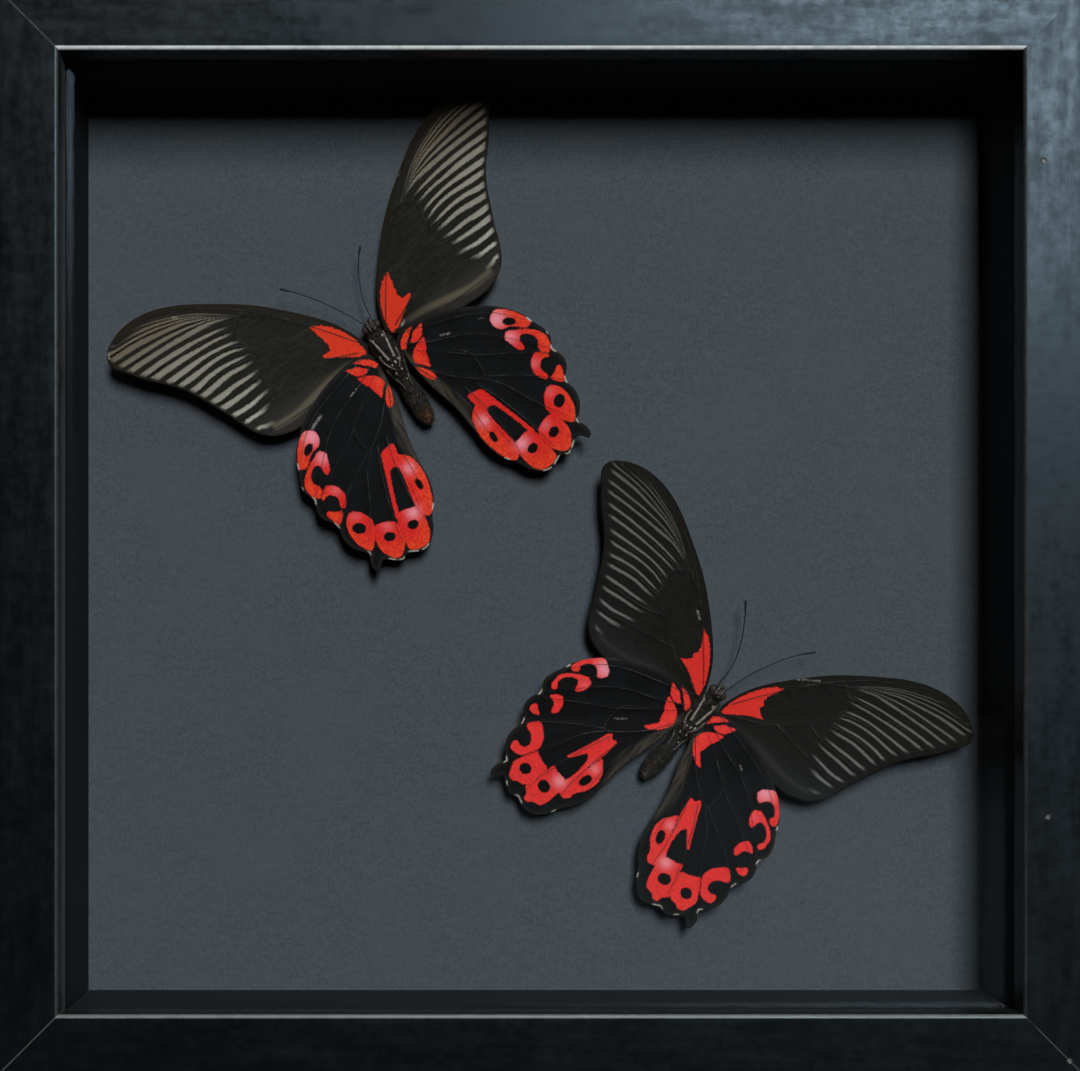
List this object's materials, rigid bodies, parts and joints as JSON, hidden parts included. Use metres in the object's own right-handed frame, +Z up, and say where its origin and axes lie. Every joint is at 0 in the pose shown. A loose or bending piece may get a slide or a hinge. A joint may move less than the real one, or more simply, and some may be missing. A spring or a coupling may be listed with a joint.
{
  "type": "framed butterfly specimen",
  "caption": "Square black deep box frame, glazed, with large swallowtail butterflies fixed inside, undersides forward, on a grey board.",
  "frame": {"origin": "middle of the bottom rail's underside: centre of the footprint, on the surface that the frame stands on", "axes": "+X to the right as seen from the front, +Y towards the back, +Z up; the glass faces -Y"},
  "size_m": [0.254, 0.045, 0.254],
  "materials": {
    "frame": "black satin foil over wood",
    "liner": "black paper, matt",
    "glass": "clear, polished",
    "board": "slate grey paper, matt, fine fibres",
    "panel": "hardboard, smooth side out",
    "steel": "bright zinc",
    "brass": "brassed steel",
    "wing": "dry scaled wing, velvety black and brown with scarlet spots and pale streaks",
    "body": "dry, dark brown, hairy",
    "glue": "dried glue, amber and translucent"
  },
  "bodies": {
    "root": {"backing_panel": "panel", "frame_rail_bottom": "frame", "frame_rail_left": "frame", "frame_rail_right": "frame", "frame_rail_top": "frame", "glass_pane": "glass", "hanger_pin_left": "steel", "hanger_pin_right": "steel", "hanger_plate": "brass", "liner_strip_bottom": "liner", "liner_strip_left": "liner", "liner_strip_right": "liner", "liner_strip_top": "liner", "mounting_board": "board", "retaining_tab_bottom_1": "steel", "retaining_tab_bottom_2": "steel", "retaining_tab_left_1": "steel", "retaining_tab_left_2": "steel", "retaining_tab_right_1": "steel", "retaining_tab_right_2": "steel", "retaining_tab_top_1": "steel", "retaining_tab_top_2": "steel", "specimen_a_antenna_left": "body", "specimen_a_antenna_right": "body", "specimen_a_body": "body", "specimen_a_forewing_left": "wing", "specimen_a_forewing_right": "wing", "specimen_a_glue_dab": "glue", "specimen_a_hindwing_left": "wing", "specimen_a_hindwing_right": "wing", "specimen_a_leg_fore_left": "body", "specimen_a_leg_fore_right": "body", "specimen_a_leg_hind_left": "body", "specimen_a_leg_hind_right": "body", "specimen_a_leg_mid_left": "body", "specimen_a_leg_mid_right": "body", "specimen_b_antenna_left": "body", "specimen_b_antenna_right": "body", "specimen_b_body": "body", "specimen_b_forewing_left": "wing", "specimen_b_forewing_right": "wing", "specimen_b_glue_dab": "glue", "specimen_b_hindwing_left": "wing", "specimen_b_hindwing_right": "wing", "specimen_b_leg_fore_left": "body", "specimen_b_leg_fore_right": "body", "specimen_b_leg_hind_left": "body", "specimen_b_leg_hind_right": "body", "specimen_b_leg_mid_left": "body", "specimen_b_leg_mid_right": "body"}
  },
  "joints": []
}
